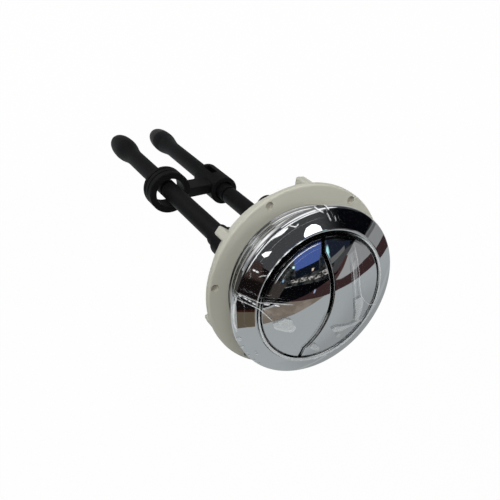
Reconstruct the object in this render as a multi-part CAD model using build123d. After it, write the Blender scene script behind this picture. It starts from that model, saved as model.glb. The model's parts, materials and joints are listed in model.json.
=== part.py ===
from build123d import *
import math
import os

# Push button for a dual flush cistern, made to sit in a hole in the cistern lid.
# Millimetres. The origin is the centre of the cap's underside, where it seats on the lid.
# +Z points out of the lid and +X runs from the full flush rod to the half flush rod.

# Bezel: domed cap, lid seat and threaded neck in one plated moulding
aperture_radius = 22.1
shoulder_width = 0.8
shoulder_height = 0.6
neck_wall = 1.85
lid_seat_width = 4.25
neck_length = 20.0
neck_chamfer = 0.6
cap_edge_height = 1.45
dome_radius = 57.0
cap_edge_fillet = 0.8
aperture_fillet = 0.85
screw_boss_radius = 3.2
screw_boss_height = 4.5
screw_boss_sink = 0.2
screw_boss_angle = 45.0

# Buttons: two domed shells that share the opening along a bowed split
button_gap = 1.0
button_recess = 0.4
button_top = 1.8
button_wall = 1.6
button_fillet = 0.35
button_lip_clearance = 0.3
button_lip_height = 2.2
button_seat_clearance = 0.2
button_travel = 7.0
split_gap = 1.2
split_turn = 7.5
split_run_x = -3.9
split_bow_x = 0.9
split_knee_y = 16.5
plunger_boss_radius = 4.0
plunger_boss_depth = 4.0
spring_boss_radius = 2.5
spring_boss_depth = 6.0
spring_peg_radius = 1.2
spring_peg_length = 3.0

# Carrier: plate across the neck, with guide tubes and spring towers below it
carrier_clearance = 0.2
carrier_thickness = 2.2
travel_room = 2.7
guide_wall = 1.07
guide_collar = 2.0
guide_length = 17.8
plunger_fit = 0.08
tower_wall = 1.4
tower_floor = 1.5
tower_length = 24.3
tower_x = 3.2
tower_y = 12.0
tower_rib_depth = 0.3
tower_rib_pitch = 1.6
tower_rib_count = 4

# Plungers and push rods
rod_spacing = 27.8
rod_radius = 3.55
rod_fit = 0.07
plunger_wall = 0.68
plunger_web = 4.0
plunger_reach = 5.0
rod_engagement = 15.0
rod_chamfer = 0.5
upper_rod_length = 59.3
full_lower_rod_length = 62.7
half_lower_rod_length = 84.3
joint_gap = 0.9
joint_groove_depth = 0.6
spigot_radius = 2.2
spigot_length = 8.0
spigot_fit = 0.03
tip_radius = 5.0
tip_length = 23.8
tip_nose_length = 11.2
tip_end_radius = 3.2
tip_end_slope = 0.5
tip_end_fillet = 1.0

# Spacer that keeps the rods apart: a loose ring, a slanting web and a sleeve
spacer_above_joint = 1.6
spacer_step = 7.0
spacer_swing = 1.3
ring_clearance = 2.35
ring_wall = 2.6
ring_length = 8.0
ring_groove_width = 0.7
ring_groove_depth = 0.35
ring_groove_count = 2
sleeve_clearance = 0.52
sleeve_grip_fit = 0.03
sleeve_wall = 1.85
sleeve_length = 18.1
sleeve_mouth_depth = 6.0
sleeve_window_inset = 7.6
sleeve_window_length = 8.4
sleeve_window_width = 2.4
sleeve_window_angle = 112.0
web_length = 8.9
web_thickness = 4.2
web_inset_at_ring = 0.4
web_inset_at_sleeve = 1.8
spacer_fillet = 0.4

# Clamp nut that holds the bezel to the lid from below
lid_gap = 9.0
nut_thread_clearance = 0.6
nut_hub_wall = 2.85
nut_flange_width = 4.0
nut_flange_thickness = 1.7
nut_height = 8.0
nut_rim_fillet = 0.7
nut_phase = 8.2
lug_count = 6
lug_width = 3.2
lug_setback = 0.4
lug_overhang = 0.6
lug_fillet = 0.7
dimple_radius = 1.3
dimple_depth = 0.9
dimple_rim_inset = 2.1

# Return springs
spring_wire_radius = 0.4
spring_clearance = 0.3
spring_turns = 9
spring_end_gap = 0.05

# Self-tapping screws
screw_radius = 1.1
screw_fit = 0.05
screw_hole_clearance = 0.35
screw_head_radius = 2.5
screw_head_height = 1.7
screw_length_in_boss = 3.4
plunger_screw_length = 7.0
drive_slot_width = 0.7
drive_slot_depth = 0.8

# Clear protective film over the cap
film_gap = 0.15
film_thickness = 0.12
film_edge_height = 0.3

# Sizes worked out from the ones above
neck_bore_radius = aperture_radius + shoulder_width
neck_radius = neck_bore_radius + neck_wall
cap_radius = neck_radius + lid_seat_width
dome_centre = cap_edge_height - math.sqrt(dome_radius**2 - cap_radius**2)
button_radius = aperture_radius - button_gap
button_lip_radius = neck_bore_radius - button_lip_clearance
button_lip_top = shoulder_height - button_seat_clearance
button_bottom = button_lip_top - button_lip_height
split_rise = split_bow_x - split_run_x
split_radius = (split_knee_y**2 + split_rise**2) / (2 * split_rise)
split_centre_x = split_bow_x - split_radius
boss_top = button_bottom - button_travel - travel_room
plate_top = boss_top - screw_boss_height
plate_bottom = plate_top - carrier_thickness
boss_distance = neck_bore_radius + screw_boss_sink - screw_boss_radius
rod_x = rod_spacing / 2
plunger_bore_radius = rod_radius + rod_fit
plunger_radius = plunger_bore_radius + plunger_wall
guide_bore_radius = plunger_radius + plunger_fit
guide_radius = guide_bore_radius + guide_wall
guide_bottom = plate_bottom - guide_length
plunger_bottom = guide_bottom - plunger_reach
rod_top = plunger_bottom + rod_engagement
joint_height = rod_top - upper_rod_length
spring_radius = spring_peg_radius + spring_clearance + spring_wire_radius
tower_bore_radius = spring_radius + spring_wire_radius + spring_clearance
tower_radius = tower_bore_radius + tower_wall
tower_bottom = plate_bottom - tower_length
ring_front = joint_height + spacer_above_joint
sleeve_front = ring_front - spacer_step
ring_bore_radius = rod_radius + ring_clearance
ring_radius = ring_bore_radius + ring_wall
mouth_radius = rod_radius + sleeve_clearance
sleeve_radius = mouth_radius + sleeve_wall
nut_bore_radius = neck_radius + nut_thread_clearance
nut_hub_radius = nut_bore_radius + nut_hub_wall
nut_radius = nut_hub_radius + nut_flange_width
far = 3 * cap_radius


# Helpers shared by the pieces

def post(radius, top, bottom, x=0, y=0):
    # upright cylinder between two heights
    upright = (Align.CENTER, Align.CENTER, Align.MIN)
    return Pos(x, y, bottom) * Cylinder(radius, top - bottom, align=upright)


def turned(*lines):
    # solid of revolution about Z from an outline given as (radius, height)
    return revolve(Plane.XZ * make_face(Curve() + list(lines)), Axis.Z)


def round_edges(part, radius, height):
    # circular edges of a part that lie at one height with one radius
    circles = part.edges().filter_by(GeomType.CIRCLE)
    return [e for e in circles
            if abs(e.radius - radius) < 1e-4 and abs(e.arc_center.Z - height) < 1e-4]


def dome_height(radius, inset=0.0):
    # height of the cap's dome, or of a sphere inside it by the inset
    return dome_centre + math.sqrt((dome_radius - inset)**2 - radius**2)


def dome_arc(start_radius, end_radius, inset=0.0, drop=0.0):
    # arc of the dome from one radius to another, for a turned outline
    radii = (start_radius, (start_radius + end_radius) / 2, end_radius)
    return ThreePointArc(*[(r, dome_height(r, inset) - drop) for r in radii])


def around(count, phase=0.0):
    # rotations that spread copies evenly about Z
    return [Rot(0, 0, phase + 360 * i / count) for i in range(count)]


def screw(length, hidden_length):
    # pan head screw, head down, with its head seated at height 0
    shank = post(screw_radius, hidden_length + length, 0)
    head = post(screw_head_radius, 0, -screw_head_height)
    slot_size = (2 * screw_head_radius, drive_slot_width, drive_slot_depth)
    slot = Pos(0, 0, -screw_head_height + drive_slot_depth / 2)
    return shank + head - slot * Box(*slot_size) - slot * Rot(0, 0, 90) * Box(*slot_size)


# Bezel

def make_bezel():
    lip_height = dome_height(aperture_radius)
    body = turned(
        Polyline((aperture_radius, lip_height), (aperture_radius, shoulder_height),
                 (neck_bore_radius, shoulder_height), (neck_bore_radius, -neck_length),
                 (neck_radius, -neck_length), (neck_radius, 0), (cap_radius, 0),
                 (cap_radius, cap_edge_height)),
        dome_arc(cap_radius, aperture_radius),
    )
    body = fillet(round_edges(body, cap_radius, cap_edge_height), cap_edge_fillet)
    body = fillet(round_edges(body, aperture_radius, lip_height), aperture_fillet)
    body = chamfer(round_edges(body, neck_radius, -neck_length), neck_chamfer)
    for turn in around(2, screw_boss_angle):
        body += turn * post(screw_boss_radius, boss_top, plate_top, boss_distance)
        body -= turn * post(screw_radius + screw_fit, plate_top + screw_length_in_boss, plate_top,
                            boss_distance)
    return body


# Buttons

def split_side(offset, side):
    # area on one side of the bowed split, with the split moved sideways by an offset
    run_x = split_run_x + offset
    bow_radius = split_radius + offset
    knee = math.sqrt(bow_radius**2 - (run_x - split_centre_x)**2)
    edge_x = side * far
    rim = Polyline((run_x, knee), (run_x, far), (edge_x, far), (edge_x, -far), (run_x, -far),
                   (run_x, -knee))
    bow = ThreePointArc((run_x, -knee), (split_centre_x + bow_radius, 0), (run_x, knee))
    return Rot(0, 0, split_turn) * make_face(Curve() + [rim, bow])


def split_prism(offset, side):
    # tall prism over one side of the split
    return Pos(0, 0, -far) * extrude(split_side(offset, side), 2 * far, dir=(0, 0, 1))


def make_button(side):
    rim_height = dome_height(button_radius) - button_recess
    solid = turned(
        Polyline((0, dome_height(0) - button_recess), (0, button_bottom),
                 (button_lip_radius, button_bottom), (button_lip_radius, button_lip_top),
                 (button_radius, button_lip_top), (button_radius, rim_height)),
        dome_arc(button_radius, 0, drop=button_recess),
    )
    solid = solid & split_prism(side * split_gap / 2, side)
    top_face = solid.faces().filter_by(GeomType.SPHERE).sort_by(SortBy.AREA)[-1]
    solid = fillet(top_face.edges(), button_fillet)
    hollow_radius = button_radius - button_wall
    hollow = turned(
        Polyline((0, dome_height(0, button_top) - button_recess), (0, button_bottom),
                 (hollow_radius, button_bottom),
                 (hollow_radius, dome_height(hollow_radius, button_top) - button_recess)),
        dome_arc(hollow_radius, 0, button_top, button_recess),
    )
    hollow = hollow & split_prism(side * (split_gap / 2 + button_wall), side)
    button = solid - hollow
    boss_root = button_top / 2
    root_height = dome_height(0, boss_root) - button_recess
    inside = turned(
        Polyline((0, root_height), (0, -far), (hollow_radius, -far),
                 (hollow_radius, dome_height(hollow_radius, boss_root) - button_recess)),
        dome_arc(hollow_radius, 0, boss_root, button_recess),
    )
    plunger_boss = post(plunger_boss_radius, root_height, -plunger_boss_depth, side * rod_x)
    spring_boss = post(spring_boss_radius, root_height, -spring_boss_depth, side * tower_x, side * tower_y)
    button += (plunger_boss + spring_boss) & inside
    button += post(spring_peg_radius, -spring_boss_depth, -spring_boss_depth - spring_peg_length,
                   side * tower_x, side * tower_y)
    button -= post(screw_radius + screw_fit, plunger_screw_length - plunger_boss_depth,
                   -plunger_boss_depth, side * rod_x)
    return button


# Carrier

def make_carrier():
    plate = post(neck_bore_radius - carrier_clearance, plate_top, plate_bottom)
    for side in (-1, 1):
        tower = post(tower_radius, plate_top, tower_bottom, side * tower_x, side * tower_y)
        for i in range(tower_rib_count):
            rib_height = tower_bottom + tower_rib_pitch * (i + 0.5)
            groove = post(tower_radius, rib_height + tower_rib_pitch / 2, rib_height)
            groove -= post(tower_radius - tower_rib_depth, rib_height + tower_rib_pitch / 2, rib_height)
            tower -= Pos(side * tower_x, side * tower_y, 0) * groove
        plate += tower
        plate += post(guide_radius, plate_top + guide_collar, guide_bottom, side * rod_x)
    for side in (-1, 1):
        plate -= post(guide_bore_radius, plate_top + guide_collar, guide_bottom, side * rod_x)
        plate -= post(tower_bore_radius, plate_top, tower_bottom + tower_floor,
                      side * tower_x, side * tower_y)
    for turn in around(2, screw_boss_angle):
        plate -= turn * post(screw_radius + screw_hole_clearance, plate_top, plate_bottom, boss_distance)
    return plate


def make_carrier_screws():
    fixing = Pos(boss_distance, 0, plate_bottom) * screw(screw_length_in_boss, carrier_thickness)
    return Compound([turn * fixing for turn in around(2, screw_boss_angle)])


# Plungers, springs and rods

def make_plunger(side):
    top = -plunger_boss_depth
    body = post(plunger_radius, top, plunger_bottom)
    body -= post(plunger_bore_radius, top - plunger_web, plunger_bottom)
    body -= post(screw_radius + screw_hole_clearance, top, top - plunger_web)
    return Pos(side * rod_x, 0, 0) * body


def make_plunger_screw(side):
    seat = -plunger_boss_depth - plunger_web
    return Pos(side * rod_x, 0, seat) * screw(plunger_screw_length, plunger_web)


def make_spring(side):
    bottom = tower_bottom + tower_floor + spring_wire_radius + spring_end_gap
    top = -spring_boss_depth - spring_wire_radius - spring_end_gap
    coil = Helix((top - bottom) / spring_turns, top - bottom, spring_radius)
    section = Plane(coil @ 0, z_dir=coil % 0) * Circle(spring_wire_radius)
    wire = sweep(section, path=coil, is_frenet=True)
    return Pos(side * tower_x, side * tower_y, bottom) * wire


def make_upper_rod(side):
    body = post(rod_radius, rod_top, joint_height)
    ends = round_edges(body, rod_radius, rod_top) + round_edges(body, rod_radius, joint_height)
    body = chamfer(ends, rod_chamfer)
    body -= post(spigot_radius + spigot_fit, joint_height + spigot_length, joint_height)
    return Pos(side * rod_x, 0, 0) * body


def make_lower_rod(side, length):
    # shaft, swelling and nose turned about the rod's own axis, with the nose end downwards
    end = joint_height - length
    widest = end + tip_nose_length
    shaft_end = end + tip_length
    groove_radius = rod_radius - joint_groove_depth
    swell = Spline((rod_radius, shaft_end), (tip_radius, widest), tangents=((0, -1), (0, -1)))
    body = turned(
        Polyline((0, joint_height), (groove_radius, joint_height), (groove_radius, joint_height - joint_gap),
                 (rod_radius, joint_height - joint_gap), (rod_radius, shaft_end)),
        swell,
        Spline((tip_radius, widest), (tip_end_radius, end), tangents=((0, -1), (-tip_end_slope, -1))),
        Polyline((tip_end_radius, end), (0, end), (0, joint_height)),
    )
    body = fillet(round_edges(body, tip_end_radius, end), tip_end_fillet)
    body += post(spigot_radius, joint_height + spigot_length - joint_gap, joint_height)
    return Pos(side * rod_x, 0, 0) * body


# Spacer

def make_spacer():
    ring = post(ring_radius, ring_front, ring_front - ring_length, -rod_x)
    ring_edges = ring.edges().filter_by(GeomType.CIRCLE)
    ring = fillet(ring_edges, spacer_fillet)
    for i in range(ring_groove_count):
        groove_top = ring_front - ring_length * (i + 1) / (ring_groove_count + 1)
        groove_bottom = groove_top - ring_groove_width
        groove = post(ring_radius, groove_top, groove_bottom, -rod_x)
        ring -= groove - post(ring_radius - ring_groove_depth, groove_top, groove_bottom, -rod_x)
    sleeve = post(sleeve_radius, sleeve_front, sleeve_front - sleeve_length, rod_x)
    sleeve = fillet(sleeve.edges().filter_by(GeomType.CIRCLE), spacer_fillet)
    ring_side = -rod_x + ring_bore_radius + ring_wall / 2
    sleeve_side = rod_x - mouth_radius - sleeve_wall / 2
    web_at_ring = ring_front - web_inset_at_ring
    web_at_sleeve = sleeve_front - web_inset_at_sleeve
    outline = Polyline((ring_side, web_at_ring), (sleeve_side, web_at_sleeve),
                       (sleeve_side, web_at_sleeve - web_length), (ring_side, web_at_ring - web_length),
                       close=True)
    web = extrude(Plane.XZ * make_face(outline), web_thickness / 2, both=True)
    web = fillet(web.edges().filter_by(Axis.Y, reverse=True).filter_by(Axis.Z, reverse=True), spacer_fillet)
    spacer = ring + sleeve + web
    spacer -= post(ring_bore_radius, ring_front, ring_front - ring_length - web_length, -rod_x)
    spacer -= post(mouth_radius, sleeve_front, sleeve_front - sleeve_mouth_depth, rod_x)
    spacer -= post(rod_radius + sleeve_grip_fit, sleeve_front, sleeve_front - sleeve_length, rod_x)
    window = Box(sleeve_radius, sleeve_window_width, sleeve_window_length)
    window_height = sleeve_front - sleeve_window_inset - sleeve_window_length / 2
    spacer -= Pos(rod_x, 0, window_height) * Rot(0, 0, sleeve_window_angle) * Pos(sleeve_radius, 0, 0) * window
    swing = Pos(rod_x, 0, 0) * Rot(0, 0, spacer_swing) * Pos(-rod_x, 0, 0)
    return swing * spacer


# Clamp nut

def make_nut():
    front = -lid_gap
    flange_back = front - nut_flange_thickness
    back = front - nut_height
    body = turned(Polyline((nut_bore_radius, front), (nut_radius, front), (nut_radius, flange_back),
                           (nut_hub_radius, flange_back), (nut_hub_radius, back), (nut_bore_radius, back),
                           close=True))
    body = fillet(round_edges(body, nut_radius, front), nut_rim_fillet)
    lug_start = (nut_bore_radius + nut_hub_radius) / 2
    lug_end = nut_radius - lug_setback
    lug_drop = nut_height + lug_overhang - nut_flange_thickness / 2
    lug = Box(lug_end - lug_start, lug_width, lug_drop, align=(Align.MIN, Align.CENTER, Align.MAX))
    outer_face = lug.faces().sort_by(Axis.X)[-1]
    bottom_face = lug.faces().sort_by(Axis.Z)[0]
    ends = outer_face.edges().filter_by(Axis.Z) + bottom_face.edges().filter_by(Axis.X)
    lug = fillet(ends + outer_face.edges().sort_by(Axis.Z)[:1], lug_fillet)
    lug = Pos(lug_start, 0, front - nut_flange_thickness / 2) * lug
    for turn in around(lug_count, nut_phase + 180 / lug_count):
        body += turn * lug
    dimple = post(dimple_radius, front, front - dimple_depth, nut_radius - dimple_rim_inset)
    for turn in around(lug_count, nut_phase):
        body -= turn * dimple
    return body


# Protective film

def make_film():
    inner_edge = cap_radius + film_gap
    outer_edge = inner_edge + film_thickness
    lift = -film_gap
    outer_lift = lift - film_thickness
    return turned(
        dome_arc(0, inner_edge, lift),
        Polyline((inner_edge, dome_height(inner_edge, lift)), (inner_edge, film_edge_height),
                 (outer_edge, film_edge_height), (outer_edge, dome_height(outer_edge, outer_lift))),
        dome_arc(outer_edge, 0, outer_lift),
        Line((0, dome_height(0, outer_lift)), (0, dome_height(0, lift))),
    )


full, half = -1, 1
nodes = {
    "bezel": make_bezel(),
    "full_flush_button": make_button(full),
    "half_flush_button": make_button(half),
    "button_carrier": make_carrier(),
    "carrier_screws": make_carrier_screws(),
    "full_plunger": make_plunger(full),
    "half_plunger": make_plunger(half),
    "full_plunger_screw": make_plunger_screw(full),
    "half_plunger_screw": make_plunger_screw(half),
    "full_return_spring": make_spring(full),
    "half_return_spring": make_spring(half),
    "full_rod_upper": make_upper_rod(full),
    "half_rod_upper": make_upper_rod(half),
    "full_rod_lower": make_lower_rod(full, full_lower_rod_length),
    "half_rod_lower": make_lower_rod(half, half_lower_rod_length),
    "rod_spacer": make_spacer(),
    "clamp_nut": make_nut(),
    "protective_film": make_film(),
}

os.makedirs("parts", exist_ok=True)
for name, shape in nodes.items():
    export_step(shape, f"parts/{name}.step")
    print(name, round(shape.volume, 2))
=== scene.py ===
import bpy
import json
import math
import numpy as np
from mathutils import Matrix, Vector


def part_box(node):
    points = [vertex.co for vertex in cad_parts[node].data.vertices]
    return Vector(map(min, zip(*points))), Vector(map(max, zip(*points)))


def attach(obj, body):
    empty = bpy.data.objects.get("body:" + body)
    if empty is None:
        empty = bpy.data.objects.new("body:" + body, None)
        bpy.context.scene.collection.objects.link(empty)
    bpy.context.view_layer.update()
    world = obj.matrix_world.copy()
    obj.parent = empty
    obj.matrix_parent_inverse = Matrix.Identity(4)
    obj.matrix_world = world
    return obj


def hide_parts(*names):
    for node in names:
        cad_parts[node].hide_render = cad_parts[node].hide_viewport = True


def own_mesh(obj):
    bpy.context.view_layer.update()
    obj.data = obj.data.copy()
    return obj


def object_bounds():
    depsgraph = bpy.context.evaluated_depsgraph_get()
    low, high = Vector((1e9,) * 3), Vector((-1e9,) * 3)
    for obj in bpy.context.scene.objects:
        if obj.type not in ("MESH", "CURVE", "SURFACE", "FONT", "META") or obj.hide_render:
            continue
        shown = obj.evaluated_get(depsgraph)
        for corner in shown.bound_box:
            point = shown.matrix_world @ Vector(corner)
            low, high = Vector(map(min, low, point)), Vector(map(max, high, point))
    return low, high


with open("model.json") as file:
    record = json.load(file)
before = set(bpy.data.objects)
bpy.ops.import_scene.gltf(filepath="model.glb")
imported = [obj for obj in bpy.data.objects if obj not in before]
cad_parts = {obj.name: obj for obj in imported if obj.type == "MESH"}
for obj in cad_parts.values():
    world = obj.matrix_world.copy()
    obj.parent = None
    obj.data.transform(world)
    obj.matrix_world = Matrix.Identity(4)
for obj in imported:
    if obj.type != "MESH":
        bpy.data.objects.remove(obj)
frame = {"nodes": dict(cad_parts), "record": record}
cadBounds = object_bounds()
nodes = frame["nodes"]
scene = bpy.context.scene
mm = 0.001  # the dictionaries below give lengths in millimetres
print("frame loaded:", len(nodes), "nodes")


# Meshes from numpy grids

def gridFaces(rows, columns, wrapColumns=False):
    # quads between neighbours of a rows x columns grid, whose rows may close on themselves
    column = np.arange(columns if wrapColumns else columns - 1)
    row, column = np.meshgrid(np.arange(rows - 1), column, indexing="ij")
    nextColumn = (column + 1) % columns
    corners = ((row, column), (row + 1, column), (row + 1, nextColumn), (row, nextColumn))
    return np.stack([r * columns + c for r, c in corners], -1).reshape(-1, 4)


def tubeFaces(rows, columns):
    # rings joined into a tube, with one face over each of its two ends
    ring = np.arange(columns)
    return [*gridFaces(rows, columns, wrapColumns=True), ring, (rows - 1) * columns + ring[::-1]]


def makePiece(name, points, faces, material):
    # a smooth shaded mesh object at the origin, from points in metres
    mesh = bpy.data.meshes.new(name)
    mesh.from_pydata(points.reshape(-1, 3), [], [list(face) for face in faces])
    mesh.polygons.foreach_set("use_smooth", np.ones(len(mesh.polygons), bool))
    mesh.materials.append(material)
    piece = bpy.data.objects.new(name, mesh)
    scene.collection.objects.link(piece)
    return piece


def giveValues(piece, name, values):
    # one number for each vertex, which the piece's material reads
    attribute = piece.data.attributes.new(name, "FLOAT", "POINT")
    attribute.data.foreach_set("value", values.astype(np.float32).ravel())


# Shader maths

class Wire:
    # a value in a node tree: arithmetic on it adds Math nodes, and node() adds any other node
    def __init__(self, tree, socket=None):
        self.tree = tree
        self.socket = socket

    def node(self, kind, settings=None, sockets=None, out=0):
        made = self.tree.nodes.new("ShaderNode" + kind)
        for key, value in (settings or {}).items():
            setattr(made, key, value)
        for key, value in (sockets or {}).items():
            if isinstance(value, Wire):
                self.tree.links.new(value.socket, made.inputs[key])
            else:
                made.inputs[key].default_value = value
        return Wire(self.tree, made.outputs[out] if made.outputs else None)

    def math(self, operation, first, second):
        return self.node("Math", {"operation": operation}, {0: first, 1: second})

    def mix(self, factor, first, second):
        return self.node("Mix", {"data_type": "RGBA"}, {0: factor, 6: first, 7: second}, 2)

    def __add__(self, other):
        return self.math("ADD", self, other)

    def __sub__(self, other):
        return self.math("SUBTRACT", self, other)

    def __rsub__(self, other):
        return self.math("SUBTRACT", other, self)

    def __mul__(self, other):
        return self.math("MULTIPLY", self, other)

    def __pow__(self, other):
        return self.math("POWER", self, other)

    __radd__ = __add__
    __rmul__ = __mul__


def newMaterial(name):
    material = bpy.data.materials.new(name)
    material.use_nodes = True
    material.node_tree.nodes.clear()
    return material, Wire(material.node_tree)


def finishMaterial(graph, sockets):
    shader = graph.node("BsdfPrincipled", None, sockets)
    graph.node("OutputMaterial", None, {"Surface": shader})


def cloud(graph, place, kind):
    # soft noise between 0 and 1, by its features for each metre, detail and roughness
    scale, detail, roughness = kind
    sockets = {"Vector": place, "Scale": scale, "Detail": detail, "Roughness": roughness}
    return graph.node("TexNoise", None, sockets, "Fac")


def relief(graph, height, depth):
    # bump of a real depth in millimetres
    sockets = {"Height": height, "Distance": depth * mm, "Strength": 1.0}
    return graph.node("Bump", None, sockets, "Normal")


def smoothly(graph, value, start, end):
    # 0 before start, 1 after end and a smooth rise between them
    sockets = {"Value": value, "From Min": start, "From Max": end}
    return graph.node("MapRange", {"interpolation_type": "SMOOTHSTEP"}, sockets)


def vectorValue(graph, operation, first, second=(0, 0, 0)):
    # the one number that a vector operation gives
    return graph.node("VectorMath", {"operation": operation}, {0: first, 1: second}, "Value")


def fromAxis(graph, place):
    # distance from the part's Z axis
    plan = graph.node("VectorMath", {"operation": "MULTIPLY"}, {0: place, 1: (1, 1, 0)})
    return vectorValue(graph, "LENGTH", plan)


# Chrome plating of the cap, its neck and the buttons

chrome = {
    "bright": (0.9, 0.91, 0.92, 1),
    "dull": (0.84, 0.85, 0.86, 1),
    # colours and masks of the painted shade in the gap around the buttons and along its rims, paler on one
    # side
    "paintedShade": (0.06, 0.06, 0.065, 1),
    "paintedShadePale": (0.5, 0.5, 0.51, 1),
    "domeRadius": 57.0,
    "domeCentre": (0, 0, -47.62 * mm),
    "paintedShadeDepths": (1.15, 1.7),
    "paintedShadeEdge": (22.7, 23.1),
    "paintedShadeLean": (-6, 10),
    "paintedRimShadeRadii": (20.1, 20.35, 22.3, 22.6),
    "paintedRimShadeLean": (8, 16),
    "shadeSide": (-0.574, 0.819, 0),
    "ripple": (70, 1.0, 0.5),
    "rippleDepth": 0.03,
    "smear": (190, 5.0, 0.65),
    "smearPower": 3,
    "roughness": 0.012,
    "smearRoughness": 0.06,
}


def chromePlate():
    # painted shade: the plating is darkened where it runs down into the gap around the buttons, most of all
    # on one side, where a painted dark band also runs along the rims of the gap
    material, graph = newMaterial("chromePlate")

    def between(value, name):
        start, end = chrome[name]
        return smoothly(graph, value, start * mm, end * mm)

    place = graph.node("TexCoord", out="Object")
    ripple = cloud(graph, place, chrome["ripple"])
    smear = cloud(graph, place, chrome["smear"])
    depth = chrome["domeRadius"] * mm - vectorValue(graph, "DISTANCE", place, chrome["domeCentre"])
    radius = fromAxis(graph, place)
    # painted shade mask: 1 down in the gap around the buttons, inside the aperture's edge
    gap = between(depth, "paintedShadeDepths") * (1.0 - between(radius, "paintedShadeEdge"))
    plated = graph.mix(smear, chrome["bright"], chrome["dull"])
    lean = vectorValue(graph, "DOT_PRODUCT", place, chrome["shadeSide"])
    # painted shade colour, paler on one side of the cap and darker on the other
    paintedShade = graph.mix(between(lean, "paintedShadeLean"), chrome["paintedShadePale"], chrome["paintedShade"])
    # a painted dark band along the rims of the gap, on the shaded side only
    inner, innerEnd, outer, outerEnd = (edge * mm for edge in chrome["paintedRimShadeRadii"])
    paintedRimShade = smoothly(graph, radius, inner, innerEnd) * (1.0 - smoothly(graph, radius, outer, outerEnd))
    paintedRimShade = paintedRimShade * between(lean, "paintedRimShadeLean")
    finishMaterial(graph, {
        "Base Color": graph.mix(graph.math("MAXIMUM", gap, paintedRimShade), plated, paintedShade),
        "Metallic": 1.0,
        "Roughness": chrome["roughness"] + chrome["smearRoughness"] * smear ** chrome["smearPower"],
        "Normal": relief(graph, ripple, chrome["rippleDepth"]),
    })
    return material


# Off-white moulded plastic of the clamp nut

nutFinish = {
    "pale": (0.5, 0.495, 0.435, 1),
    "warm": (0.46, 0.452, 0.375, 1),
    # colour of the painted shade on the dimples' floors
    "dimpleShade": (0.33, 0.3, 0.25, 1),
    "dimples": 6,
    "dimplePhase": 8.2,
    "dimpleRing": 30.1,
    "dimpleRadius": 1.3,
    "dimpleCore": 0.78,
    "dimpleShadeDepths": (0.1, 0.7, 1.1, 1.4),
    "front": -9.0,
    "blotch": (45, 4.0, 0.5),
    "grain": (1400, 2.0, 0.5),
    "grainDepth": 0.01,
    "roughness": 0.36,
    "roughnessSpread": 0.16,
}


def paintedDimpleShade(graph, place):
    # painted shade: 1 on the floors of the dimples, which are darkened; the angle wraps round so that one
    # dimple stands for all
    x, y, z = (graph.node("SeparateXYZ", None, {"Vector": place}, axis) for axis in "XYZ")
    radius = fromAxis(graph, place)
    half = math.pi / nutFinish["dimples"]
    turn = graph.math("ARCTAN2", y, x) - math.radians(nutFinish["dimplePhase"])
    turn = graph.node("Math", {"operation": "WRAP"}, {0: turn, 1: half, 2: -half})
    outward = radius * graph.math("COSINE", turn, 0.0) - nutFinish["dimpleRing"] * mm
    aside = radius * graph.math("SINE", turn, 0.0)
    away = graph.math("SQRT", outward * outward + aside * aside, 0.0)
    near = 1.0 - smoothly(graph, away, nutFinish["dimpleCore"] * mm, nutFinish["dimpleRadius"] * mm)
    depth = nutFinish["front"] * mm - z
    start, full, floor, end = (level * mm for level in nutFinish["dimpleShadeDepths"])
    return near * smoothly(graph, depth, start, full) * (1.0 - smoothly(graph, depth, floor, end))


def nutPlastic():
    material, graph = newMaterial("nutPlastic")
    place = graph.node("TexCoord", out="Object")
    blotch = cloud(graph, place, nutFinish["blotch"])
    grain = cloud(graph, place, nutFinish["grain"])
    clean = graph.mix(blotch, nutFinish["warm"], nutFinish["pale"])
    finishMaterial(graph, {
        # painted shade darkens the floors of the dimples
        "Base Color": graph.mix(paintedDimpleShade(graph, place), clean, nutFinish["dimpleShade"]),
        "Roughness": nutFinish["roughness"] + nutFinish["roughnessSpread"] * grain,
        "Normal": relief(graph, grain, nutFinish["grainDepth"]),
    })
    return material


# Black moulded plastic of the rods, spacer, plungers and carrier

blackFinish = {
    "dark": (0.003, 0.003, 0.0034, 1),
    "light": (0.01, 0.01, 0.011, 1),
    "flowStretch": (420, 420, 16),
    "flow": (1.0, 4.0, 0.6),
    "flowShare": 0.5,
    "grain": (900, 3.0, 0.5),
    "grainDepth": 0.02,
    "roughness": 0.4,
    "roughnessSpread": 0.2,
    "shine": 0.08,
}


def blackPlastic():
    # faint flow marks run along the rods
    material, graph = newMaterial("blackPlastic")
    place = graph.node("TexCoord", out="Object")
    along = graph.node("Mapping", None, {"Vector": place, "Scale": blackFinish["flowStretch"]})
    flow = cloud(graph, along, blackFinish["flow"])
    grain = cloud(graph, place, blackFinish["grain"])
    share = blackFinish["flowShare"]
    finishMaterial(graph, {
        "Base Color": graph.mix(flow, blackFinish["dark"], blackFinish["light"]),
        "Roughness": blackFinish["roughness"] + blackFinish["roughnessSpread"] * flow,
        "Specular IOR Level": blackFinish["shine"],
        "Normal": relief(graph, share * flow + (1 - share) * grain, blackFinish["grainDepth"]),
    })
    return material


# Bright steel of the springs and screws

steelFinish = {
    "bright": (0.62, 0.61, 0.58, 1),
    "dull": (0.4, 0.39, 0.37, 1),
    "draw": (700, 4.0, 0.5),
    "drawDepth": 0.01,
    "roughness": 0.22,
    "roughnessSpread": 0.2,
}


def drawnSteel():
    material, graph = newMaterial("drawnSteel")
    place = graph.node("TexCoord", out="Object")
    draw = cloud(graph, place, steelFinish["draw"])
    finishMaterial(graph, {
        "Base Color": graph.mix(draw, steelFinish["dull"], steelFinish["bright"]),
        "Metallic": 1.0,
        "Roughness": steelFinish["roughness"] + steelFinish["roughnessSpread"] * draw,
        "Normal": relief(graph, draw, steelFinish["drawDepth"]),
    })
    return material


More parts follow.
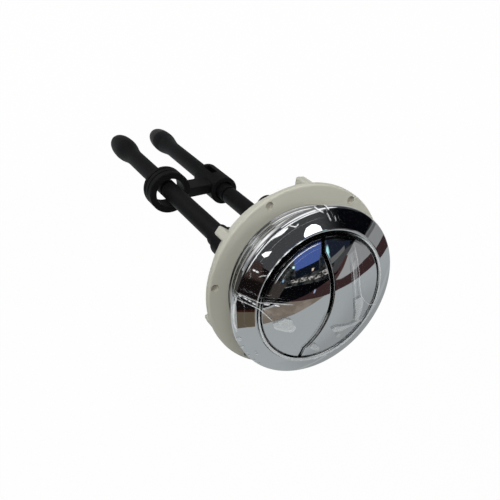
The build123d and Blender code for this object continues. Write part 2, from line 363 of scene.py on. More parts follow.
materials = {
    "chrome_plate": chromePlate(),
    "white_plastic": nutPlastic(),
    "black_plastic": blackPlastic(),
    "steel": drawnSteel(),
}
for part in frame["record"]["subparts"]:
    if part["material_slot"] in materials:
        mesh = nodes[part["node"]].data
        mesh.materials.clear()
        mesh.materials.append(materials[part["material_slot"]])
print("finishes on the CAD nodes:", ", ".join(materials))


# Screw thread on the neck

thread = {
    "pitch": 2.0,
    "rootRadius": 24.7,
    "crestRadius": 25.2,
    "rootWidth": 1.5,
    "crestWidth": 0.5,
    "across": (0.5, 0.36, 0.2, -0.2, -0.36, -0.5),
    "rise": (0.0, 0.55, 1.0, 1.0, 0.55, 0.0),
    "start": -0.9,
    "run": 18.2,
    "fadeTurns": 0.35,
    "endRise": 0.05,
    "stepsPerTurn": 160,
}


def makeThread():
    # a rounded trapezium carried along a helix about Z: at turn t the ridge is at height start - pitch t,
    # and its radius rises from root to crest over the ends' fade
    turns = thread["run"] / thread["pitch"]
    turn = np.linspace(0, turns, int(turns * thread["stepsPerTurn"]))
    fade = np.clip(np.minimum(turn, turns - turn) / thread["fadeTurns"], thread["endRise"], 1)
    across, rise = np.array(thread["across"]), np.array(thread["rise"])
    width = thread["crestWidth"] + (thread["rootWidth"] - thread["crestWidth"]) * np.abs(across) * 2
    radius = thread["rootRadius"] + (thread["crestRadius"] - thread["rootRadius"]) * rise * fade[:, None]
    height = thread["start"] - thread["pitch"] * turn[:, None] - np.sign(across) * width / 2
    angle = 2 * math.pi * turn[:, None]
    points = np.stack([radius * np.cos(angle), radius * np.sin(angle), height + 0 * radius], -1)
    return points * mm


threadPoints = makeThread()
threadFaces = tubeFaces(*threadPoints.shape[:2])
neckThread = makePiece("neckThread", threadPoints, threadFaces, materials["chrome_plate"])
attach(neckThread, "bezel")
print("neck thread:", len(neckThread.data.polygons), "faces")


# Return springs, built at rest; the real ones shorten as their buttons are pressed

returnSpring = {
    "wire": 0.4,
    "turns": 9,
    "endPitch": 0.86,
    "closeTurns": 0.6,
    "stepsPerTurn": 40,
    "around": 12,
    "press": 7.0,
}


def springPoints(low, high):
    # rings of points square to a helix that fills the box from low to high: each ring is out cos a +
    # up sin a, and the pitch is close at both ends and opens smoothly between them
    wire, turns = returnSpring["wire"], returnSpring["turns"]
    coil = (high[0] - low[0]) / 2 - wire
    turn = np.linspace(0, turns, turns * returnSpring["stepsPerTurn"] + 1)
    opening = np.clip(np.minimum(turn, turns - turn) - returnSpring["closeTurns"], 0, 1)
    opening = opening**2 * (3 - 2 * opening)
    spread = np.concatenate([[0], np.cumsum(opening[1:] + opening[:-1])])
    height = returnSpring["endPitch"] * turn
    height = height + (high[2] - low[2] - 2 * wire - height[-1]) * spread / spread[-1]
    angle = 2 * math.pi * turn
    slope = np.gradient(height, angle) / coil
    out = np.stack([np.cos(angle), np.sin(angle), 0 * angle], -1)
    along = np.stack([-np.sin(angle), np.cos(angle), slope], -1) / np.hypot(1, slope)[:, None]
    up = np.cross(out, along)
    middle = (low + high) / 2 + coil * out
    middle[:, 2] = low[2] + wire + height
    around = np.linspace(0, 2 * math.pi, returnSpring["around"], endpoint=False)[:, None]
    return middle[:, None] + wire * (np.cos(around) * out[:, None] + np.sin(around) * up[:, None])


def makeSpring(name, node):
    low, high = (np.array(corner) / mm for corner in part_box(node))
    points = springPoints(low, high)
    piece = makePiece(name, points * mm, tubeFaces(*points.shape[:2]), materials["steel"])
    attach(piece, "bezel")
    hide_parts(node)
    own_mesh(piece)
    print(name + ":", len(piece.data.polygons), "faces")


makeSpring("fullSpring", "full_return_spring")
makeSpring("halfSpring", "half_return_spring")


# Clear protective film stretched over the cap

film = {
    "capRadius": 29.0,
    "domeRadius": 57.0,
    "edgeHeight": 1.45,
    "gap": 0.1,
    "thickness": 0.05,
    "rimRound": 0.9,
    "skirtEdge": 0.3,
    "domeRows": 88,
    "rimRows": 7,
    "skirtRows": 7,
    "columns": 480,
    "rippleHeight": 0.03,
    "rippleWaves": (0.9, 1.3, 0.5, 0.8, 0.7),
    "arcStep": 4,
    "sets": 3,
    "far": 9.0,
    "endRate": 8,
    "flicker": (0.8, 0.2, 23, 1, 9, 2),
    "dashWobble": (0.4, 11),
    "flatSize": 63.4,
}


def arcPoints(radius, start, end):
    # points every few degrees of an arc about the cap's axis
    turn = np.radians(np.linspace(start, end, 1 + int(abs(end - start) / film["arcStep"])))
    return list(zip(radius * np.cos(turn), radius * np.sin(turn)))


# creases by the points they pass on the cap's plan, with half width, height, brightness and count of bright
# dashes;
# the brightness is a painted highlight, the arcs along the lip, the buttons' edge and the rim are painted
# highlights more than creases, and the flat line along the split is painted light over the dark gap;
# neighbours are in different sets, and each set has its own values on the film
creases = [
    {"set": 0, "points": [(-29.3, 0.0), (-25.4, -0.9), (-22.3, -1.6), (-19.2, -1.0), (-15.8, -0.8),
                          (-12.3, -0.6)], "width": 0.18, "height": 0.35, "glint": 0.5},
    {"set": 1, "points": [(-28.9, -2.0), (-25.2, -2.8), (-22.1, -3.6), (-19.7, -5.1), (-16.6, -7.3)],
     "width": 0.18, "height": 0.3, "glint": 0.55},
    {"set": 2, "points": [(-28.6, -0.5), (-26.6, -1.1), (-24.8, -1.8), (-23.0, -2.6)],
     "width": 0.28, "height": 0.45, "glint": 1.0, "dashes": 4},
    {"set": 1, "points": [(-21.1, -1.8), (-19.5, -1.7)], "width": 0.34, "height": 0.2, "glint": 1.0},
    {"set": 1, "points": [(-17.9, -1.6), (-16.6, -1.7)], "width": 0.28, "height": 0.2, "glint": 1.0},
    {"set": 0, "points": [(4.2, 15.5), (6.2, 10.6), (7.7, 7.3), (9.9, 2.6), (12.7, -3.5)],
     "width": 0.2, "height": 0.02, "glint": 0.3},
    {"set": 1, "points": [(4.6, 19.4), (6.2, 16.0), (8.7, 10.5), (10.4, 6.3), (12.5, 2.6), (15.3, 0.2),
                          (18.9, -1.6), (21.3, -2.2), (25.5, -2.8)],
     "width": 0.2, "height": 0.02, "glint": 0.4},
    {"set": 2, "points": [(13.4, -8.3), (17.9, -7.2), (19.6, -5.6), (20.6, -3.0)],
     "width": 0.2, "height": 0.02, "glint": 0.35},
    {"set": 0, "points": [(-6.7, 29.0), (-5.3, 27.8)], "width": 0.2, "height": 0.3, "glint": 1.0},
    {"set": 1, "points": [(-6.0, 27.0), (-4.6, 25.0)], "width": 0.15, "height": 0.1, "glint": 0.8},
    {"set": 2, "points": [(-3.2, 26.4), (-2.8, 25.1)], "width": 0.14, "height": 0.1, "glint": 0.7},
    {"set": 2, "points": [(-10.3, 27.8), (-7.1, 26.9)], "width": 0.2, "height": 0.3, "glint": 1.0},
    {"set": 0, "points": [(-26.3, 7.9), (-24.5, 7.4)],
     "width": 0.3, "height": 0.25, "glint": 1.0, "dashes": 2},
    {"set": 1, "points": [(-24.3, 6.1), (-23.5, 6.7), (-22.3, 7.0)],
     "width": 0.15, "height": 0.2, "glint": 0.6},
    {"set": 1, "points": [(-17.9, 22.0), (-15.8, 22.0), (-15.0, 23.0)],
     "width": 0.2, "height": 0.25, "glint": 0.9},
    {"set": 2, "points": arcPoints(23.0, 124, 166),
     "width": 0.22, "height": 0.1, "glint": 1.0, "dashes": 4},
    {"set": 1, "points": arcPoints(20.2, 112, 166), "width": 0.16, "height": 0.05, "glint": 0.8},
    {"set": 2, "points": arcPoints(22.9, -86, -36),
     "width": 0.25, "height": 0.1, "glint": 0.9, "dashes": 7},
    {"set": 0, "points": arcPoints(28.45, 104, 167), "width": 0.2, "height": 0.1, "glint": 0.95},
    {"set": 2, "points": [(-29.2, -0.4), (-28.6, -2.2), (-28.5, -4.8), (-27.9, -7.6), (-27.0, -10.2),
                          (-25.3, -13.1)], "width": 0.3, "height": 0.1, "glint": 0.5},
    {"set": 0, "points": [(0.3, -2.5), (0.3, -5.1), (-0.1, -8.9), (-1.2, -13.8), (-2.3, -16.8),
                          (-1.8, -20.0)], "width": 0.5, "height": 0.0, "glint": 0.2},
]

# patches where the film stands off the chrome and looks hazy, by their outlines, or as round spots and
# rings
hazes = [
    {"outline": [(-16.6, -8.0), (-15.7, -9.6), (-14.3, -10.1), (-11.6, -10.5), (-9.4, -10.4), (-8.8, -9.3),
                 (-9.0, -8.3), (-10.5, -6.9), (-11.3, -5.9), (-13.4, -5.6)], "level": 0.3},
    {"outline": [(4.6, -9.1), (5.9, -8.2), (9.5, -8.3), (13.4, -8.3), (17.9, -7.2), (19.1, -6.2),
                 (19.0, -8.1), (16.3, -8.8), (12.5, -9.4), (9.3, -10.6), (6.4, -10.5)], "level": 0.24},
    {"outline": [(10.2, 1.2), (12.7, -3.5), (14.2, -7.0), (16.4, -7.4), (15.8, -3.0), (15.0, 0.0),
                 (12.9, 2.2)], "level": 0.28},
    {"outline": [(6.4, 9.0), (7.6, 6.4), (9.0, 8.0), (7.6, 11.6), (6.2, 14.8), (5.2, 12.4)], "level": 0.1},
    {"outline": [(0.0, -16.9), (-0.1, -14.9), (1.6, -15.2), (4.1, -17.0), (4.6, -18.2), (3.5, -18.3)],
     "level": 0.22},
    {"outline": [(-28.9, -4.0), (-28.2, -7.0), (-27.0, -10.5), (-25.6, -13.6), (-24.9, -13.2),
                 (-26.3, -9.6), (-27.4, -6.2), (-28.2, -3.6)], "level": 0.25},
    {"spot": (9.6, -12.3, 0.9), "level": 0.12},
    {"spot": (-23.7, -15.9, 0.9), "level": 0.3},
    {"spot": (-21.5, -18.8, 0.6), "level": 0.3},
    {"spot": (-19.3, -20.7, 0.35), "level": 0.4},
    {"spot": (-18.3, -21.9, 0.35), "level": 0.4},
    {"spot": (-17.2, -19.8, 0.35), "level": 0.4},
    {"spot": (-16.4, -20.7, 0.4), "level": 0.4},
    {"spot": (-15.9, -23.6, 0.4), "level": 0.4},
    {"spot": (-13.6, -25.1, 0.4), "level": 0.4},
    {"ring": (22.1, 0.4), "swell": 0.35, "towards": -50, "level": 0.55},
]


def besideLine(line, x, y):
    # signed distance from each point to a line's nearest straight run, and the place along the line, 0 to 1
    line = np.array(line)
    starts, steps = line[:-1], np.diff(line, axis=0)
    lengths = np.hypot(*steps.T)
    offsetX = x[..., None] - starts[:, 0]
    offsetY = y[..., None] - starts[:, 1]
    share = np.clip((offsetX * steps[:, 0] + offsetY * steps[:, 1]) / lengths**2, 0, 1)
    away = np.hypot(offsetX - share * steps[:, 0], offsetY - share * steps[:, 1])
    away = np.copysign(away, offsetX * steps[:, 1] - offsetY * steps[:, 0])
    nearest = np.abs(away).argmin(-1)[..., None]
    along = (np.cumsum(lengths) - lengths + share * lengths) / lengths.sum()
    return np.take_along_axis(away, nearest, -1)[..., 0], np.take_along_axis(along, nearest, -1)[..., 0]


def within(outline, x, y):
    # true where a line towards +X crosses the closed outline an odd number of times
    outline = np.array(outline)
    (x0, y0), (x1, y1) = outline[:-1].T, outline[1:].T
    rising = (y0 > y[..., None]) != (y1 > y[..., None])
    crossing = x0 + (y[..., None] - y0) * (x1 - x0) / np.where(y1 == y0, 1, y1 - y0)
    return (rising & (crossing > x[..., None])).sum(-1) % 2 == 1


def insidePatch(patch, x, y):
    # distance to the patch's edge in millimetres, above 0 inside it
    if "spot" in patch:
        spotX, spotY, radius = patch["spot"]
        return radius - np.hypot(x - spotX, y - spotY)
    if "ring" in patch:
        radius, half = patch["ring"]
        half = half + patch["swell"] * np.cos(np.arctan2(y, x) - math.radians(patch["towards"]))
        return half - np.abs(np.hypot(x, y) - radius)
    outline = patch["outline"] + patch["outline"][:1]
    away = np.abs(besideLine(outline, x, y)[0])
    return np.where(within(outline, x, y), away, -away)


def filmProfile():
    # radius, height and slope from the apex out: the dome's arc, a rounding over the rim and a short skirt
    sphere = film["domeRadius"] + film["gap"]
    centre = film["edgeHeight"] - math.sqrt(film["domeRadius"]**2 - film["capRadius"]**2)
    outer = film["capRadius"] + film["gap"]
    turnRadius = outer - film["rimRound"]
    turnHeight = centre + math.sqrt((sphere - film["rimRound"])**2 - turnRadius**2)
    lean = math.asin(turnRadius / (sphere - film["rimRound"]))
    dome = np.linspace(0, lean, film["domeRows"] + 1)[1:]
    rim = np.linspace(lean, math.pi / 2, film["rimRows"] + 1)[1:]
    skirt = np.linspace(turnHeight, film["skirtEdge"], film["skirtRows"] + 1)[1:]
    radius = np.concatenate([sphere * np.sin(dome), turnRadius + film["rimRound"] * np.sin(rim),
                             np.full(len(skirt), outer)])
    height = np.concatenate([centre + sphere * np.cos(dome),
                             turnHeight + film["rimRound"] * np.cos(rim), skirt])
    slope = np.concatenate([dome, rim, np.full(len(skirt), math.pi / 2)])
    return radius, height, slope, centre + sphere


def flickerAlong(crease, along):
    # brightness along a crease: even with a slight waver, or the squared sine of its dashes
    if "dashes" in crease:
        size, rate = film["dashWobble"]
        return np.sin(math.pi * crease["dashes"] * along + size * np.sin(rate * along))**2
    base, size, rate, start, slowRate, slowStart = film["flicker"]
    return base + size * np.sin(rate * along + start) * np.sin(slowRate * along + slowStart)


def creaseValues(x, y):
    # the creases' lift, a bell curve across each, and each set's nearest crease as its distance in widths
    # and its brightness
    lift = np.zeros_like(x)
    beside = np.full((film["sets"], *x.shape), film["far"])
    glint = np.zeros_like(beside)
    for crease in creases:
        away, along = besideLine(crease["points"], x, y)
        away = away / crease["width"]
        ends = np.clip(np.minimum(along, 1 - along) * film["endRate"], 0, 1)
        lift = lift + crease["height"] * np.exp(-away**2) * ends
        mine = crease["set"]
        nearer = np.abs(away) < np.abs(beside[mine])
        beside[mine] = np.where(nearer, away, beside[mine])
        glint[mine] = np.where(nearer, crease["glint"] * ends * flickerAlong(crease, along), glint[mine])
    return lift, beside, glint


def hazeValues(x, y):
    # distance into the deepest patch at each point, and that patch's level
    inside = np.full_like(x, -film["far"])
    level = np.zeros_like(x)
    for patch in hazes:
        field = insidePatch(patch, x, y)
        level = np.where(field > inside, patch["level"], level)
        inside = np.maximum(inside, field)
    return inside, level


def makeFilm(material):
    # the profile turned about Z, lifted along its own normal by creases and a faint ripple, which is a
    # bent sine of x times a sine of y
    radius, height, slope, apex = filmProfile()
    angle = np.linspace(0, 2 * math.pi, film["columns"], endpoint=False)
    x = radius[:, None] * np.cos(angle)
    y = radius[:, None] * np.sin(angle)
    across, bend, bendRate, along, start = film["rippleWaves"]
    ripple = np.sin(across * x + bend * np.sin(bendRate * y)) * np.sin(along * y + start) + 1
    lift, beside, glint = creaseValues(x, y)
    lift = film["rippleHeight"] * ripple + lift
    inside, level = hazeValues(x, y)
    wide = radius[:, None] + lift * np.sin(slope)[:, None]
    high = height[:, None] + lift * np.cos(slope)[:, None]
    points = np.stack([wide * np.cos(angle), wide * np.sin(angle), high], -1)
    count = len(angle)
    faces = gridFaces(len(radius), count, wrapColumns=True)
    tip = points.shape[0] * count
    ring = np.arange(count)
    fan = np.stack([ring, (ring + 1) % count, np.full(count, tip)], -1)
    points = np.concatenate([points.reshape(-1, 3), [[0, 0, apex]]])
    piece = makePiece("filmSheet", points * mm, list(faces) + list(fan), material)
    for i in range(film["sets"]):
        giveValues(piece, f"beside{i}", np.append(beside[i].ravel(), film["far"]))
        giveValues(piece, f"glint{i}", np.append(glint[i].ravel(), 0))
    giveValues(piece, "inside", np.append(inside.ravel(), -film["far"]))
    giveValues(piece, "level", np.append(level.ravel(), 0))
    return piece


filmFinish = {
    "clear": (0.74, 0.77, 0.78, 1),
    # colour of the painted highlights along the creases
    "glint": (0.95, 0.96, 0.97, 1),
    "alpha": 0.001,
    "roughness": 0.3,
    "glintPolish": 0.15,
    "lineCore": 0.3,
    "hazeEdge": 0.15,
}


def clearFilm():
    # painted highlights as bright lines where a crease's distance is under its width, and a haze with sharp
    # edges in the patches
    material, graph = newMaterial("clearFilm")

    def value(name):
        return graph.node("Attribute", {"attribute_name": name}, None, "Fac")

    def line(i):
        away = graph.math("ABSOLUTE", value(f"beside{i}"), 0.0)
        return (1.0 - smoothly(graph, away, filmFinish["lineCore"], 1.0)) * value(f"glint{i}")

    shine = line(0)
    for i in range(1, film["sets"]):
        shine = graph.math("MAXIMUM", shine, line(i))
    haze = smoothly(graph, value("inside"), 0.0, filmFinish["hazeEdge"]) * value("level")
    finishMaterial(graph, {
        "Base Color": graph.mix(shine, filmFinish["clear"], filmFinish["glint"]),
        "Roughness": filmFinish["roughness"] - filmFinish["glintPolish"] * shine,
        "Alpha": filmFinish["alpha"] + haze + shine,
    })
    return material


materials["clear_film"] = clearFilm()
filmSheet = makeFilm(materials["clear_film"])
skin = filmSheet.modifiers.new("thickness", "SOLIDIFY")
skin.thickness = film["thickness"] * mm
skin.offset = 1.0
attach(filmSheet, "bezel")
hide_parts("protective_film")
print("film:", len(filmSheet.data.polygons), "faces")


# Camera at the photograph's viewing angle

view = {
    "azimuth": 237.43,
    "elevation": 50.914,
    "roll": 131.96,
    "distance": 240.0,
    "aim": (-10.39, 2.12, -24.74),
    "lens": 51.943,
    "sensor": 36,
    "nearest": 5.0,
}


def makeCamera():
    azimuth, elevation, roll = (math.radians(view[k]) for k in ("azimuth", "elevation", "roll"))
    back = Vector((math.sin(azimuth) * math.cos(elevation), -math.cos(azimuth) * math.cos(elevation),
                   math.sin(elevation)))
    level = Vector((0, 0, 1)).cross(back).normalized()
    right = level * math.cos(roll) + back.cross(level) * math.sin(roll)
    turned = Matrix((right, back.cross(right), back)).transposed().to_4x4()
    data = bpy.data.cameras.new("camera")
    data.lens = view["lens"]
    data.sensor_width = view["sensor"]
    data.clip_start = view["nearest"] * mm
    camera = bpy.data.objects.new("camera", data)
    place = (Vector(view["aim"]) + back * view["distance"]) * mm
    camera.matrix_world = Matrix.Translation(place) @ turned
    scene.collection.objects.link(camera)
    scene.camera = camera
    return back


viewBack = makeCamera()
print("camera:", view["lens"], "mm lens")


# Studio: floor, soft lamps, and cards that only reflections see

studio = {
    "floorSize": 6000.0,
    "floorLines": 9,
    "floorDrop": 1.0,
    "floorTint": (0.9, 0.9, 0.9, 1),
    "white": (1, 1, 1, 1),
    "floorGlow": 0.97,
    "worldLight": 0.45,
    "up": (0, 0.983, 0.181),
    "cardRadius": 1500.0,
    "cardGap": 20.0,
    "cardDrop": 0.107,
    "cardColumns": 61,
    "cardRows": 21,
    "cardCloud": (4.0, 0.7),
    "cloudEdges": (0.42, 0.62),
    "least": 0.001,
}
lamps = [
    {"name": "frontLamp", "azimuth": 56, "elevation": 33, "distance": 700, "size": 260, "power": 1.1},
    {"name": "keyLamp", "azimuth": -20, "elevation": 45, "distance": 700, "size": 450, "power": 3.0},
    {"name": "backLamp", "azimuth": 170, "elevation": 55, "distance": 800, "size": 450, "power": 0.8},
]

# cards by their lower and upper edges, as azimuth and elevation about the studio's up, back ones first
cards = [
    {"name": "greyCard", "lower": [(-180, -90), (180, -90)], "upper": [(-180, 0), (180, 0)],
     "colour": (0.365, 0.388, 0.395)},
    {"name": "duskCard", "lower": [(-180, 0), (180, 0)], "upper": [(-180, 90), (180, 90)],
     "colour": (0.052, 0.054, 0.057)},
    {"name": "rightGround", "lower": [(80, -62), (170, -62)], "upper": [(84, -4), (170, -4)],
     "soft": (0.3, 0.3), "colour": (0.29, 0.305, 0.31)},
    {"name": "farGround", "lower": [(140, -60), (240, -60)], "upper": [(140, -2), (240, -2)],
     "soft": (0.2, 0.2), "colour": (0.72, 0.75, 0.76)},
    {"name": "farGrey", "lower": [(126, -2), (240, -2)], "upper": [(126, 20), (240, 30)],
     "colour": (0.4, 0.4, 0.41)},
    {"name": "topCard", "lower": [(-180, 58), (180, 58)], "upper": [(-180, 90), (180, 90)],
     "colour": (1.0, 1.0, 1.01)},
    {"name": "leftDim", "lower": [(-175, -12), (-40, -12)], "upper": [(-175, 56), (-40, 50)],
     "soft": (0.15, 0.15), "colour": (0.2, 0.2, 0.205)},
    {"name": "leftBright", "lower": [(-135, -6), (-92, -6)], "upper": [(-135, 34), (-92, 34)],
     "soft": (0.4, 0.4), "colour": (1.1, 1.1, 1.1)},
    {"name": "leftLight", "lower": [(-62, 20), (-14, 22)], "upper": [(-62, 40), (-14, 38)],
     "soft": (0.3, 0.3), "colour": (1.0, 1.0, 1.0)},
    {"name": "shadeCard", "lower": [(60, 12), (85, 17), (100, 17), (118, 19), (140, 21)],
     "upper": [(58, 46), (80, 43), (100, 36), (118, 34), (140, 34)], "soft": (0.33, 0),
     "colour": (0.0008, 0.001, 0.002)},
    {"name": "rightGrey", "lower": [(74, -1), (90, 2), (126, 4)],
     "upper": [(83, 13), (90, 17.5), (96, 18.5), (100, 17.2), (126, 18)],
     "colour": (0.26, 0.262, 0.267)},
    {"name": "rightLine", "lower": [(100, 14.5), (122, 15.5)], "upper": [(98, 17), (122, 17.5)],
     "colour": (0.12, 0.12, 0.125)},
    {"name": "rightPale", "lower": [(77, 0.5), (91, 2.5)], "upper": [(84, 12.5), (92, 14)],
     "colour": (0.33, 0.335, 0.34)},
    {"name": "leftShade", "lower": [(-30, -34), (15, -27.8), (30, -22.8), (40, -14)],
     "upper": [(-30, 12), (15, 10), (26, 6), (36, -3)], "colour": (0.006, 0.004, 0.004)},
    {"name": "sideShade", "lower": [(-120, -34), (-30, -34)],
     "upper": [(-120, -12), (-60, -8), (-30, 4)], "colour": (0.05, 0.048, 0.045)},
    {"name": "umberCard", "lower": [(6, -3.5), (17, -3.1), (25.5, -3.7)],
     "upper": [(6, 8), (12, 10), (17, 13), (22, 10)], "soft": (0.2, 0.2),
     "colour": (0.04, 0.027, 0.024)},
    {"name": "lowShade", "lower": [(33, -6), (45, -2), (62, 0.5), (72, 2.5)],
     "upper": [(31, 13), (45, 10), (62, 16), (74, 16)], "colour": (0.05, 0.055, 0.052),
     "second": (0.004, 0.005, 0.006), "grain": 12},
    {"name": "umberLow", "lower": [(31, -14), (37, -14), (41, -11)],
     "upper": [(31, 2), (37, 1), (42, 0)], "soft": (0.2, 0.2), "colour": (0.042, 0.035, 0.031)},
    {"name": "tanCard",
     "lower": [(30, -36.6), (34, -34.7), (45, -27.2), (55, -20.6), (62, -14.8), (70, -8.5)],
     "upper": [(30, -23), (37, -18.5), (42, -14.5), (48, -12.4), (54, -11.4), (60, -10), (70, -8.4)],
     "colour": (0.25, 0.213, 0.178), "second": (0.18, 0.15, 0.122), "grain": 5},
    {"name": "tanShade", "lower": [(8, -44), (23, -40), (33, -34.6)],
     "upper": [(8, -30), (20, -26.4), (31, -22.9)], "colour": (0.108, 0.085, 0.06)},
    {"name": "redEdge", "lower": [(8, -30), (20, -26.4), (31, -22.9)],
     "upper": [(8, -28.2), (20, -24.8), (31, -21.3)], "colour": (0.03, 0.008, 0.006)},
    {"name": "brownStrip",
     "lower": [(47, -12.6), (54, -11.4), (60, -10), (70, -8.3), (80, -5.6), (90, -4), (100, -2.2),
               (112, -1.4), (128, -1)],
     "upper": [(47, -9), (60, -2), (68, 1.5), (80, 0.3), (90, 2.5), (100, 5), (112, 5.9), (128, 7)],
     "colour": (0.039, 0.02, 0.021)},
    {"name": "brownPost", "lower": [(68, -0.5), (76, 0.5), (81, 7), (84.5, 13)],
     "upper": [(68, 1), (71, 2.5), (77, 7.5), (82.5, 13.5)], "colour": (0.06, 0.03, 0.03)},
    {"name": "blackBand",
     "lower": [(38, -13.5), (40, -15.2), (43, -14.4), (47, -12.6), (50, -10.9), (55, -8), (60, -4.8),
               (66, -1), (76, 4.5)],
     "upper": [(40, -4), (45, -2), (55, 0.2), (62, 1.2), (70, 3), (75, 5), (80, 8.5), (83, 12)],
     "colour": (0.001, 0.001, 0.002)},
    {"name": "mottledCard", "lower": [(41, -0.5), (50, 1.5), (60, 3), (70, 6)],
     "upper": [(43, 2), (50, 4.2), (58, 5.5), (68, 9.5)], "colour": (0.5, 0.48, 0.45),
     "second": (0.015, 0.015, 0.017), "grain": 26},
    {"name": "navyCard", "lower": [(45, 3.5), (52, 6), (61, 9)],
     "upper": [(45, 8), (52, 12), (60.5, 15.5)], "colour": (0.004, 0.006, 0.012)},
    {"name": "blueCard", "lower": [(44, 8.5), (52, 12), (60.5, 15.3)],
     "upper": [(41.5, 16), (44, 24), (50, 28.5), (56, 30.5), (63, 30.5)],
     "colour": (0.06, 0.103, 0.32)},
    {"name": "rightInk", "lower": [(62, 12), (70, 14), (86, 18)],
     "upper": [(62, 27), (70, 26), (88, 20)], "colour": (0.01, 0.014, 0.025)},
    {"name": "rightStripe", "lower": [(69, 10), (82, 17)], "upper": [(69, 14.5), (82, 19.5)],
     "colour": (0.13, 0.13, 0.13)},
    {"name": "paleStreak", "lower": [(67.2, 13), (70.4, 14)], "upper": [(65, 23.5), (68, 24.5)],
     "soft": (0.3, 0.3), "colour": (0.5, 0.95, 1.0)},
    {"name": "cyanDot", "lower": [(41.2, 9.4), (43.4, 9.6)], "upper": [(41.2, 11.6), (43.4, 11.8)],
     "soft": (0.45, 0.45), "colour": (1.0, 1.5, 1.5)},
    {"name": "creamDot", "lower": [(55.8, 8.2), (57, 8.5)], "upper": [(55.4, 10.6), (58, 11)],
     "soft": (0.3, 0.3), "colour": (0.8, 0.66, 0.52)},
    {"name": "blueDot", "lower": [(36.6, -0.6), (38.4, -0.4)], "upper": [(36.8, 2.4), (38.2, 2.6)],
     "soft": (0.4, 0.4), "colour": (0.3, 0.5, 0.75)},
    {"name": "lilacDot", "lower": [(60.6, -6.5), (62.4, -6.4)], "upper": [(60.8, -3.2), (62.6, -3)],
     "soft": (0.4, 0.4), "colour": (0.4, 0.46, 0.62)},
    {"name": "softBox", "lower": [(46.9, 32.2), (49.1, 30.4), (56.1, 30.9), (64.6, 33)],
     "upper": [(46.9, 32.6), (49.4, 36.5), (54.7, 38.4), (59.4, 37.8), (62.6, 36.3), (64.6, 33.4)],
     "colour": (1.7, 1.75, 1.75)},
    {"name": "smallBox", "lower": [(17.6, 15.8), (19.6, 14.6), (22, 16.1), (23.7, 19.7)],
     "upper": [(17.6, 16.2), (19.4, 18.5), (23.7, 20)], "colour": (1.4, 1.45, 1.45)},
    {"name": "rimGlow", "lower": [(20.6, 24.6), (24, 28), (28.1, 31), (30.6, 33), (34, 36.1)],
     "upper": [(20.6, 24.9), (22.8, 28.3), (27.7, 33), (34, 36.4)], "colour": (1.3, 1.3, 1.3)},
]

cardUp = Vector(studio["up"]).normalized()
heading = (-viewBack + cardUp * viewBack.dot(cardUp)).normalized()
sideways = heading.cross(cardUp)


def directionTo(azimuth, elevation):
    # unit vectors from the cap; azimuth 0 is towards the camera and 90 to its right, elevation from level
    azimuth = np.radians(azimuth)[..., None]
    elevation = np.radians(elevation)[..., None]
    level = np.sin(azimuth) * np.array(sideways) - np.cos(azimuth) * np.array(heading)
    return np.cos(elevation) * level + np.sin(elevation) * np.array(cardUp)


def glowMaterial(card):
    # a plain or clouded glow, which fades out at the edges of a soft card
    material, graph = newMaterial(card["name"])
    colour = (*card["colour"], 1)
    if "second" in card:
        place = graph.node("TexCoord", out="Object")
        clouds = cloud(graph, place, (card["grain"], *studio["cardCloud"]))
        clouds = smoothly(graph, clouds, *studio["cloudEdges"])
        colour = graph.mix(clouds, (*card["second"], 1), colour)
    glow = graph.node("Emission", None, {"Color": colour, "Strength": 1.0})
    if "soft" in card:
        full = graph.node("Attribute", {"attribute_name": "full"}, None, "Fac")
        glow = graph.node("MixShader", None, {0: full, 1: graph.node("BsdfTransparent"), 2: glow})
    graph.node("OutputMaterial", None, {"Surface": glow})
    return material


def alongEdge(edge, count):
    # points at even steps of length along an edge's straight runs
    edge = np.array(edge, float)
    length = np.concatenate([[0], np.cumsum(np.hypot(*np.diff(edge, axis=0).T))])
    place = np.linspace(0, length[-1], count)
    return np.stack([np.interp(place, length, edge[:, 0]), np.interp(place, length, edge[:, 1])], -1)


def makeCard(card, radius):
    # a patch of a sphere ruled between two edges, drawn in where it would dip under the floor
    rows, columns = studio["cardRows"], studio["cardColumns"]
    rise = np.linspace(0, 1, rows)[:, None, None]
    edges = (1 - rise) * alongEdge(card["lower"], columns) + rise * alongEdge(card["upper"], columns)
    ways = directionTo(edges[..., 0], edges[..., 1])
    reach = radius * np.minimum(1, studio["cardDrop"] / np.maximum(-ways[..., 2:], studio["least"]))
    piece = makePiece(card["name"], ways * reach * mm, gridFaces(rows, columns), glowMaterial(card))
    if "soft" in card:
        run = np.linspace(0, 1, columns)
        ends, sides = np.maximum(card["soft"], studio["least"])
        inset = np.minimum(np.minimum(rise, 1 - rise)[..., 0] / sides, np.minimum(run, 1 - run) / ends)
        giveValues(piece, "full", np.sin(np.clip(inset, 0, 1) * math.pi / 2)**2)
    piece.visible_camera = False
    piece.visible_diffuse = False
    piece.visible_transmission = False
    piece.visible_shadow = False


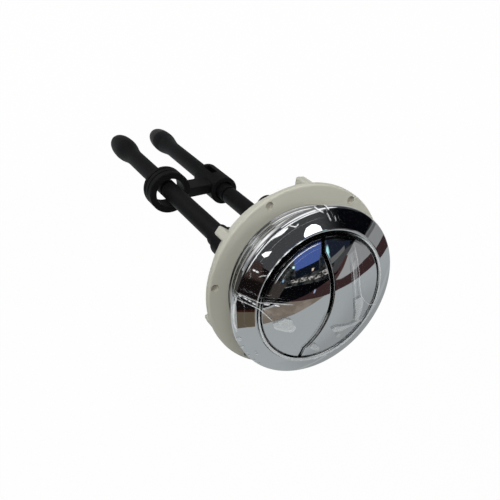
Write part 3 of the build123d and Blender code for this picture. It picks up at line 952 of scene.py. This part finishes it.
def makeLamp(lamp):
    data = bpy.data.lights.new(lamp["name"], "AREA")
    data.size = lamp["size"] * mm
    data.energy = lamp["power"]
    towards = Vector(directionTo(np.array(lamp["azimuth"]), np.array(lamp["elevation"])))
    piece = bpy.data.objects.new(lamp["name"], data)
    piece.location = towards * lamp["distance"] * mm
    piece.visible_glossy = False
    piece.rotation_mode = "QUATERNION"
    piece.rotation_quaternion = towards.to_track_quat("Z", "Y")
    scene.collection.objects.link(piece)


def seenRays(graph):
    # 1 for camera, glossy and transmitted rays, which see the white background
    seen = graph.node("LightPath", out="Is Camera Ray")
    for kind in ("Is Glossy Ray", "Is Transmission Ray"):
        seen = graph.math("MAXIMUM", seen, graph.node("LightPath", out=kind))
    return seen


def makeFloor():
    material, graph = newMaterial("paleFloor")
    matt = graph.node("BsdfDiffuse", None, {"Color": studio["floorTint"]})
    glow = graph.node("Emission", None, {"Color": studio["white"], "Strength": 1.0})
    lit = graph.node("MixShader", None, {0: studio["floorGlow"] * seenRays(graph), 1: matt, 2: glow})
    graph.node("OutputMaterial", None, {"Surface": lit})
    side = studio["floorSize"] * mm / 2
    drop = cadBounds[0].z - studio["floorDrop"] * mm
    lines = studio["floorLines"]
    edge = np.linspace(-side, side, lines)
    x, y = np.meshgrid(edge, edge)
    points = np.stack([x, y, np.full_like(x, drop)], -1)
    floor = makePiece("floor", points, gridFaces(lines, lines)[:, ::-1], material)


def makeWorld():
    world = bpy.data.worlds.new("studio")
    world.use_nodes = True
    world.node_tree.nodes.clear()
    graph = Wire(world.node_tree)
    light = graph.node("Background", None, {"Color": studio["white"], "Strength": studio["worldLight"]})
    white = graph.node("Background", None, {"Color": studio["white"], "Strength": 1.0})
    both = graph.node("MixShader", None, {0: seenRays(graph), 1: light, 2: white})
    graph.node("OutputWorld", None, {"Surface": both})
    scene.world = world


for layer, card in enumerate(cards):
    makeCard(card, studio["cardRadius"] - studio["cardGap"] * layer)
for lamp in lamps:
    makeLamp(lamp)
makeFloor()
makeWorld()
scene.view_settings.view_transform = "Standard"
print("studio:", len(cards), "cards,", len(lamps), "lamps")
